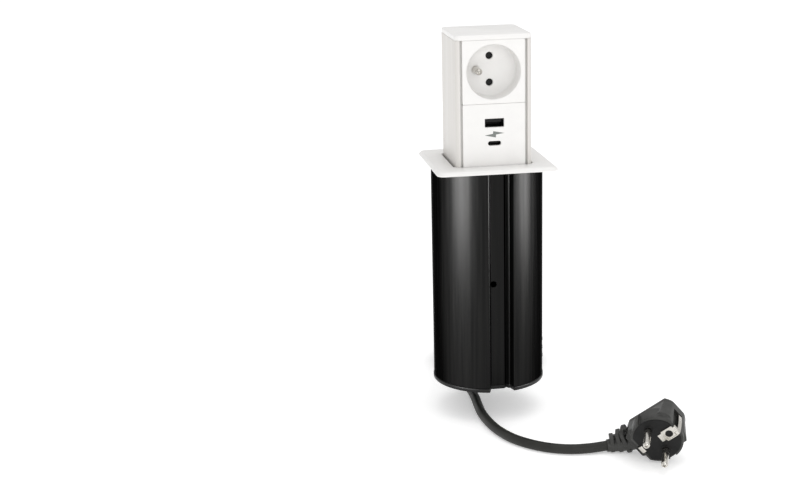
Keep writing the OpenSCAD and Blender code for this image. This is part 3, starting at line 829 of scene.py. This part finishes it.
def make_lid():
    """The lid, with a soft top edge and a thin shadow line underneath."""
    low, high = cad_mm("lid")
    steps = [(0.35, low.z), (0.1, low.z + 0.2), (0, low.z + 0.45)]
    steps += [(inset, high.z - depth) for inset, depth in quarter(LID_EDGE)]
    rings = [lifted(square_ring(TOWER_HALF - inset, TOWER_R + 0.4 - inset * 0.5, LID_POINTS), z)
             for inset, z in steps]
    return solid_piece("tower_lid", [shell(rings)], "tower", "white_plastic", ["lid"])


MODULE_HALF = 22.45
MODULE_R = 0.5
MODULE_EDGE = 0.45
MODULE_POINTS = 240
SKIRT = 9.0
SKIRT_HALF = MODULE_HALF - 2
SKIRT_R = 0.4
PLATE_DEPTH = 2.0


def module_rings():
    """The outside of a module, from the inside of its skirt round to the front face."""
    inside = [lifted(square_ring(SKIRT_HALF, SKIRT_R, MODULE_POINTS), z) for z in (PLATE_DEPTH, SKIRT)]
    side = [(0, SKIRT), *quarter(MODULE_EDGE)]
    return inside + [lifted(square_ring(MODULE_HALF - inset, MODULE_R, MODULE_POINTS), depth)
                     for inset, depth in side]


RECESS_R = 19.4
RECESS_DEPTH = 15.0
RECESS_BACK_R = 20.2
HALF_PITCH = 9.5
EARTH_ASIDE = 10


def make_socket():
    """The socket's plate and bowl, with the contact holes and a collar at the earth pin."""
    r, deep = RECESS_R, RECESS_DEPTH
    back = [lifted(round_ring(RECESS_BACK_R, MODULE_POINTS), z) for z in (deep + 2.0, PLATE_DEPTH)]
    bowl = [(r + 0.45, 0), (r + 0.13, 0.12), (r, 0.45), (r - 0.05, 5), (r - 0.12, 10),
            (r - 0.2, deep - 1.6), (r - 0.45, deep - 0.7), (r - 1.0, deep - 0.18), (r - 1.9, deep)]
    rings = back + module_rings()
    rings += [lifted(round_ring(bowl_r, MODULE_POINTS), depth) for bowl_r, depth in bowl]
    place = facing_front(0, FACE_Y, middle_z("socket_face"))
    hole = turned([(3.05, deep - 1), (3.05, deep + 0.02), (2.6, deep + 0.4), (2.6, deep + 3)], 48)
    collar = turned([(3.1, deep - 1), (3.1, deep + 0.3), (2.4, deep + 0.5), (2.4, deep + 3)], 48)
    cutters = [moved(hole, place @ Matrix.Translation((0, s * HALF_PITCH, 0))) for s in (-1, 1)]
    cutters.append(moved(collar, place @ Matrix.Translation((-EARTH_ASIDE, 0, 0))))
    plate = solid("socket_plate", moved(shell(rings), place))
    return piece_of("socket_plate", cut(plate, *cutters), "tower", "white_plastic", ["socket_face"])


PIN_R = 2.4
TIP = 2.2


def round_tip(length, rise):
    """A pin's rounded side, which starts TIP before its end."""
    angles = [math.radians(15 * k) for k in range(5)]
    return [(PIN_R * math.cos(a), length - TIP + rise * math.sin(a)) for a in angles]


def make_earth_pin():
    """The socket's earth pin, with a round tip and a dimple in its end."""
    low, high = cad_mm("earth_pin")
    length = high.y - low.y
    profile = [(PIN_R - 0.2, 0), (PIN_R, 0.2), *round_tip(length, 2.0), (0.9, length),
               (0.7, length - 0.2), (0.62, length - 1.3), (0.3, length - 1.4)]
    foot = Vector((-EARTH_ASIDE, high.y, (low.z + high.z) / 2))
    pin = moved(turned(profile, 48), Matrix.Translation(foot) @ Matrix.Rotation(math.pi / 2, 4, "X"))
    return solid_piece("earth_pin_turned", [pin], "tower", "nickel", ["earth_pin"])


OVAL_POINTS = 48


def oval_ring(span, r):
    """Two half circles of radius r, with their centres span to each side of the middle."""
    ring = []
    for k in range(OVAL_POINTS):
        a = TAU * (k + 0.5) / OVAL_POINTS - math.pi / 2
        side = 1 if k < OVAL_POINTS // 2 else -1
        ring.append((side * span + r * math.cos(a), r * math.sin(a)))
    return ring


USB_X = 0.3
# half the width and height of the wide port, and the oval port's straight half and radius
WIDE_PORT = (6.9, 3.1)
OVAL_PORT = (3.1, 1.65)


def make_usb():
    """The charging plate with its two ports, each with a small chamfer."""
    half_w, half_h = WIDE_PORT
    span, r = OVAL_PORT
    plate = solid("usb_plate", moved(shell(module_rings()), facing_front(0, FACE_Y, middle_z("usb_face"))))
    outline = reach_ring(lambda a: reach(a, half_w, half_h, 0.35), 96)
    wide = [lifted([(x * (half_w + e) / half_w, y * (half_h + e) / half_h) for x, y in outline], z)
            for e, z in [(0.3, -1), (0.3, 0), (0.0, 0.3), (0, 3)]]
    oval = [lifted(oval_ring(span, r + e), z) for e, z in [(0.2, -1), (0.2, 0), (0, 0.2), (0, 3)]]
    ports = [moved(shell(wide), facing_front(USB_X, FACE_Y, middle_z("usb_a_shell"))),
             moved(shell(oval), facing_front(USB_X, FACE_Y, middle_z("usb_c_shell")))]
    return piece_of("usb_plate", cut(plate, *ports), "tower", "white_plastic", ["usb_face"])


# the charging mark between the ports: a plain zigzag
FLASH = [(-7.0, -0.6), (0.8, -2.3), (1.05, -0.25), (7.0, 0.65), (-1.0, 2.3), (-1.15, 0.4)]


def make_mark():
    """The charging mark, raised a hair above the plate."""
    place = facing_front(USB_X, FACE_Y, middle_z("usb_mark"))
    mark = moved(shell([lifted(FLASH, -0.03), lifted(FLASH, 0.2)]), place)
    return solid_piece("charge_mark", [mark], "tower", "mark_print", ["usb_mark"])


def make_contacts():
    """Gold strips on both tongues."""
    parts = []
    low, high = cad_mm("usb_a_tongue")
    for x in (USB_X - 3.5, USB_X - 1.0, USB_X + 1.0, USB_X + 3.5):
        parts.append(box_part((x - 0.5, low.y + 0.6, low.z - 0.12), (x + 0.5, high.y - 1, low.z + 0.1), 0.05))
    low, high = cad_mm("usb_c_tongue")
    for k in range(8):
        x = USB_X - 2.45 + 0.7 * k
        for z in (low.z - 0.03, high.z - 0.03):
            parts.append(box_part((x - 0.15, low.y + 0.5, z), (x + 0.15, high.y - 1, z + 0.06), 0.02))
    # the strips take the darkened gold, which is painted shade inside the ports
    return solid_piece("port_contacts", parts, "tower", "brass", (), "shaded_port_contact")


light_barrel(make_barrel(), make_base())
make_flange()
make_profile()
make_lid()
make_socket()
make_earth_pin()
make_usb()
make_mark()
make_contacts()


# ---- plug, made in its own frame: its face is z = 0 and its cord leaves along -Y ----

PLUG_TURN = Euler([math.radians(a) for a in (110, 49, -6)]).to_matrix()
PLUG_PLACE = Matrix.Translation((87, -138.7, -168.4)) @ PLUG_TURN.to_4x4()
PLUG_R = 17.8
# the rim's two flats, across Y
PLUG_FLAT = 16.7
PLUG_LOW = -14.6
PLUG_RIM = 13
PLUG_DEPTH = 26
BACK_HALF = 11.5
NECK_HALF = 9
NECK_Y = -21
PLUG_POINTS = 96
# how much wider the back is where it meets the rim
FLARE = 1.26


def flat_sided(r, in_by=0.0):
    """A disc with a flat at each end of Y, the whole drawn in by in_by."""
    def far(a):
        side = math.sin(a)
        flat = (PLUG_FLAT if side > 0 else -PLUG_LOW) - in_by
        return min(r, flat / max(abs(side), 1e-6))
    return reach_ring(far, PLUG_POINTS)


def softened(name, parts, voxel, rounds):
    """Closed parts melted into one moulded shape with rounded corners."""
    holder = bpy.data.objects.new(name + "_soft", solid(name, *parts))
    scene.collection.objects.link(holder)
    remesh = holder.modifiers.new("remesh", "REMESH")
    remesh.mode = "VOXEL"
    remesh.voxel_size = voxel * MM
    ease = holder.modifiers.new("ease", "SMOOTH")
    ease.factor = 0.5
    ease.iterations = rounds
    result = applied(holder, name)
    bpy.data.objects.remove(holder)
    return result


def make_plug_shell():
    """The moulded body: a round rim, and a narrower back that runs out to the neck."""
    rim = shell([lifted(flat_sided(PLUG_R), z) for z in (-PLUG_RIM, -0.6)])
    start = math.acos(BACK_HALF / PLUG_R)
    arc = [start + (math.pi - 2 * start) * k / 20 for k in range(21)]
    outline = [(PLUG_R * math.cos(a), min(PLUG_R * math.sin(a), PLUG_FLAT)) for a in arc]
    outline += [(-BACK_HALF, NECK_Y + 4), (-NECK_HALF, NECK_Y), (NECK_HALF, NECK_Y), (BACK_HALF, NECK_Y + 4)]
    back = shell([lifted(outline, z) for z in (-PLUG_DEPTH, -PLUG_RIM + 4)])
    wide = [(x * FLARE, max(y, PLUG_LOW)) for x, y in outline]
    flare = shell([lifted(outline, -PLUG_DEPTH + 4), lifted(wide, -PLUG_RIM + 8)])
    body = softened("plug_shell", [rim, back, flare], 0.45, 5)
    hole = turned([(2.6, -10), (2.6, -0.3), (3.0, 2)], 40)
    grooves = [box_part((-4.2, PLUG_FLAT - 2.4, -19), (4.2, PLUG_FLAT + 2.4, 2), 0.2),
               box_part((-3.4, PLUG_LOW - 1.4, -11), (3.4, PLUG_LOW + 1.4, 2), 0.2),
               box_part((-PLUG_R - 1.9, -2.8, -PLUG_RIM - 0.5), (1.9 - PLUG_R, 2.8, 2), 0.2),
               box_part((PLUG_R - 1.9, -2.8, -PLUG_RIM - 0.5), (PLUG_R + 1.9, 2.8, 2), 0.2),
               moved(hole, Matrix.Translation((0, EARTH_ASIDE, 0)))]
    body = cut(body, *grooves)
    metric = Matrix.Scale(MM, 4)
    body.transform(metric @ PLUG_PLACE @ metric.inverted())
    return piece_of("plug_shell", body, "housing", "plug_rubber", ["plug_body"])


def plug_piece(name, parts, slot, replaces=(), look=None):
    """A piece made in the plug's own frame and put in its place."""
    placed = [moved(part, PLUG_PLACE) for part in parts]
    return solid_piece(name, placed, "housing", slot, replaces, look)


def make_plug_face():
    """The harder face plate, let into the moulded body."""
    loops = [(16.3, 1.7, -1.4), (16.3, 1.7, -0.25), (16.1, 1.9, -0.05), (15.8, 2.2, 0.0)]
    plate = shell([lifted(flat_sided(r, in_by), z) for r, in_by, z in loops])
    ring = turned_tube([(2.6, -0.2), (3.6, -0.2), (3.6, 0.25), (3.4, 0.4), (2.8, 0.4), (2.6, 0.25)], 40)
    collars = [moved(ring, Matrix.Translation((s * HALF_PITCH, 0, 0))) for s in (-1, 1)]
    return plug_piece("plug_face", [plate, *collars], "plug_rubber", (), "black_moulding")


def make_plug_pins():
    """Two pins with round tips, each with a small dimple in its end."""
    length = 19.0
    profile = [(PIN_R, -6), *round_tip(length, 1.9), (1.0, length - 0.05), (0.75, length - 0.25),
               (0.7, length - 1.6), (0.3, length - 1.7)]
    pins = [moved(turned(profile, 48), Matrix.Translation((s * HALF_PITCH, 0, 0))) for s in (-1, 1)]
    return plug_piece("plug_pins_turned", pins, "nickel", ["plug_pins"])


def make_plug_clips():
    """Side earth clips: a long spring strip with its end bent over the face."""
    parts = []
    for s, flat, x, half_wide, deep in [(1, PLUG_FLAT, 2.6, 1.5, 18.8), (-1, -PLUG_LOW, 0, 2.7, 10.5)]:
        y = s * (flat - 0.35)
        path = [(-0.9, -deep), (-0.1, 1 - deep), (0.5, -deep * 0.63), (0.45, -deep * 0.32), (0.1, -1.6),
                (-0.1, 0.0), (-0.8, 0.6), (-2.0, 0.7), (-2.9, 0.3)]
        line = catmull([Vector((x, y + s * out, z)) for out, z in path], 3)
        parts.append(strip(line, 0.7, half_wide, Vector((1, 0, 0))))
    return plug_piece("plug_clips_bent", parts, "nickel", ["plug_earth_clips"])


def make_plug_contact():
    """The earth contact on the face: a sprung frame round the earth hole."""
    count = 64
    outer = reach_ring(lambda a: reach(a, 3.6, 4.6, 0.4), count)
    inner = round_ring(2.65, count)
    loops = [lifted(outer, 0.0), lifted(outer, 0.75), lifted(inner, 0.75), lifted(inner, 0.0)]
    plate = moved(shell(loops, joined=True), Matrix.Translation((0, EARTH_ASIDE + 0.4, 0)))
    tongue = box_part((-2.9, 2.6, 0.0), (2.9, 6.2, 0.7), 0.15)
    bend = [Vector((0, y, z)) for y, z in [(14.6, 0.4), (15.6, 0.5), (16.3, 0.1), (16.6, -1.2)]]
    fold = strip(bend, 0.6, 2.6, Vector((1, 0, 0)))
    arms = [box_part((x - 0.35, 6.4, 0.2), (x + 0.35, 14.8, 1.1), 0.1) for x in (-3.9, 3.9)]
    return plug_piece("plug_contact_frame", [plate, tongue, fold, *arms], "nickel", ["plug_earth_contact"])


SLAB_EDGE = 0.3


def slab(at, along, side, size):
    """A thick rounded plate across a line: size is its half width, half height and length."""
    half_w, half_h, length = size
    wide = (side - along * side.dot(along)).normalized()
    tall = along.cross(wide)
    outline = reach_ring(lambda a: reach(a, half_w, half_h, min(half_w, half_h) * 0.45), 56)
    slim = [(x * (1 - SLAB_EDGE / half_w), y * (1 - SLAB_EDGE / half_h)) for x, y in outline]
    levels = [(slim, 0), (outline, SLAB_EDGE), (outline, length - SLAB_EDGE), (slim, length)]
    return shell([[at + wide * x + tall * y + along * z for x, y in ring] for ring, z in levels])


# each bar of the relief: its point on the line, half width, half height, and how far it is raised
RELIEF_BARS = [(1, 6.0, 4.6, 1.8), (2, 7.4, 5.4, 2.7), (3, 9.0, 6.6, 3.1)]


def make_plug_relief():
    """A bent, tapered relief: bars on a core, tied by bridges on alternate sides."""
    line = [Vector(p) for p in RELIEF_LINE]
    side = PLUG_TURN @ Vector((1, 0, 0))
    parts = [swept(catmull(line, 5), lambda t: 4.3 + 2.4 * t, 24)]
    for i, half_w, half_h, lift in RELIEF_BARS:
        out = (line[i - 1] - line[i + 1]).normalized()
        at = line[i] + Vector((0, 0, lift))
        parts.append(slab(at, out, side, (half_w, half_h, 2.9)))
        wide = (side - out * side.dot(out)).normalized()
        tall = out.cross(wide)
        away, half = (wide, half_w) if i % 2 else (tall, half_h)
        for s in (-1, 1):
            parts.append(slab(at - out * 2.2 + away * s * (half - 1.6), out, side, (1.5, 1.5, 3.0)))
    return solid_piece("plug_relief_bars", parts, "housing", "plug_rubber", ["plug_strain_relief"])


plug_pieces = [make_plug_shell(), make_plug_face(), make_plug_pins(), make_plug_clips(), make_plug_contact(),
               make_plug_relief()]


# ---- cord entry, inner lead, springs and screws ----

GLAND_Y = 4.0
BOTTOM_SCREW_AT = (25.5, 24.4)


def make_gland():
    """A moulded elbow: an upright stub, a collar under the base and an arm to the back."""
    x, arm_z = CORD_EXIT.x, CORD_EXIT.z
    bend = [(0, cad_mm("cord_gland")[1].z), (0, -160), (0, -167.5), (0.9, -169.9), (3.2, arm_z), (7, arm_z),
            (12, arm_z)]
    elbow = swept(catmull([Vector((x, GLAND_Y + y, z)) for y, z in bend], 5), 6.0, 40)
    collar = turned([(6.2, BASE_Z - 2.4), (8.2, BASE_Z - 2.4), (8.5, BASE_Z - 2.1), (8.5, BASE_Z - 0.2),
                     (8.3, BASE_Z)], 48)
    ring = turned_tube([(5.5, 0), (6.6, 0), (6.8, 0.3), (6.8, 2.0), (6.6, 2.3), (5.5, 2.3)], 48)
    back = Matrix.Translation((x, GLAND_Y + 9.5, arm_z)) @ Matrix.Rotation(-math.pi / 2, 4, "X")
    parts = [elbow, moved(collar, Matrix.Translation((x, GLAND_Y, 0))), moved(ring, back)]
    return solid_piece("gland_elbow", parts, "housing", "black_moulding", ["cord_gland"])


def make_boot():
    """The tapered boot, with five ribs."""
    start = Vector((CORD_EXIT.x, cad_mm("cord_boot")[0].y, CORD_EXIT.z))
    place = Matrix.Translation(start) @ Matrix.Rotation(-math.pi / 2, 4, "X")
    profile = [(5.2, 0), (5.6, 0.3)]
    for i in range(5):
        r = 5.6 - 0.28 * i
        z = 4.8 * i
        profile += [(r, z + 0.5), (r - 0.05, z + 2.7), (r - 0.35, z + 3.1), (r - 1.0, z + 3.3),
                    (r - 1.05, z + 4.3), (r - 0.6, z + 4.7)]
    profile += [(4.2, 23.8), (3.6, 24)]
    boot = moved(turned(profile, 48), place)
    return solid_piece("cord_boot_ribs", [boot], "housing", "black_rubber", ["cord_boot"])


def helix(middle, radius, low_z, high_z, turns, points):
    """An upright helix as a line of points."""
    line = []
    for k in range(points + 1):
        t = k / points
        a = TAU * turns * t
        line.append(Vector((middle[0] + radius * math.cos(a), middle[1] + radius * math.sin(a),
                            low_z + (high_z - low_z) * t)))
    return line


def make_inner_lead():
    """The lead's loose winding under the tower."""
    low, high = cad_mm("inner_lead")
    winding = helix((0, 0), 18.4, low.z + 3.6, high.z - 3.6, 3.0, 150)
    part = swept(winding, 3.4, 20)
    piece = solid_piece("inner_lead_winding", [part], "housing", "cord_jacket", ["inner_lead"])
    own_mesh(piece)
    return piece


def make_springs():
    """The two coil springs under the shutter."""
    low, high = cad_mm("shutter_springs")
    y = (low.y + high.y) / 2
    parts = [swept(helix((x, y), 0.65, low.z + 0.15, high.z - 0.15, 6, 120), 0.13, 8) for x in (-3, 3)]
    piece = solid_piece("shutter_spring_coils", parts, "tower", "steel", ["shutter_springs"])
    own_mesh(piece)
    return piece


SCREW_POINTS = 40
KEY_R = 1.15
THREAD_PITCH = 0.5


def screw_part(length, r, head):
    """A pan-headed screw, its head's top at z = 0, with a six-sided recess."""
    side_points = SCREW_POINTS // 6 + 1
    corners = [TAU * (k // side_points) / 6 for k in range(SCREW_POINTS)]
    key = [(KEY_R * math.cos(a), KEY_R * math.sin(a)) for a in corners]
    threads = [(r - (0.25 if i % 2 else 0), -2.0 - THREAD_PITCH * i)
               for i in range(int((length - 2.5) / THREAD_PITCH))]
    profile = [(0.4, -length), (r - 0.3, -length + 0.6), *reversed(threads), (r, -1.6), (head, -1.6),
               (head, -0.5), (head - 0.25, -0.12), (head - 0.7, 0)]
    rings = [circle_ring(ring_r, z, SCREW_POINTS) for ring_r, z in profile]
    return shell([*rings, lifted(key, 0), lifted(key, -0.9)])


def make_screws(node, places, z, size, body, upside_down):
    """One piece of equal screws; size is their length, radius and head radius."""
    part = screw_part(*size)
    turn = Matrix.Rotation(math.pi if upside_down else 0, 4, "X")
    parts = [moved(part, Matrix.Translation((x, y, z)) @ turn) for x, y in places]
    return solid_piece(node + "_turned", parts, body, "steel", [node])


make_gland()
make_boot()
make_inner_lead()
make_springs()
ring_z = cad_mm("ring_screws")[1].z
bottom_z = cad_mm("bottom_screws")[0].z
make_screws("base_screws", four_places(*SCREW_AT), BASE_Z + 0.1, (14, 1.6, 2.65), "housing", True)
make_screws("ring_screws", four_places(*SCREW_AT), ring_z, (12, 1.6, 2.65), "housing", False)
make_screws("bottom_screws", four_places(*BOTTOM_SCREW_AT), bottom_z, (12, 1.0, 1.65), "tower", True)


# ---- the CAD nodes that stay: each takes its slot's material and a fine edge ----

slots = {entry["node"]: entry["material_slot"] for entry in frame["record"]["subparts"]}
for name, node in frame["nodes"].items():
    node.data.materials.clear()
    node.data.materials.append(LOOKS[slots[name]])
    if not node.hide_render:
        edge = node.modifiers.new("edge", "BEVEL")
        edge.width = 0.12 * MM
        edge.segments = 2
        edge.limit_method = "ANGLE"
        edge.angle_limit = math.radians(50)
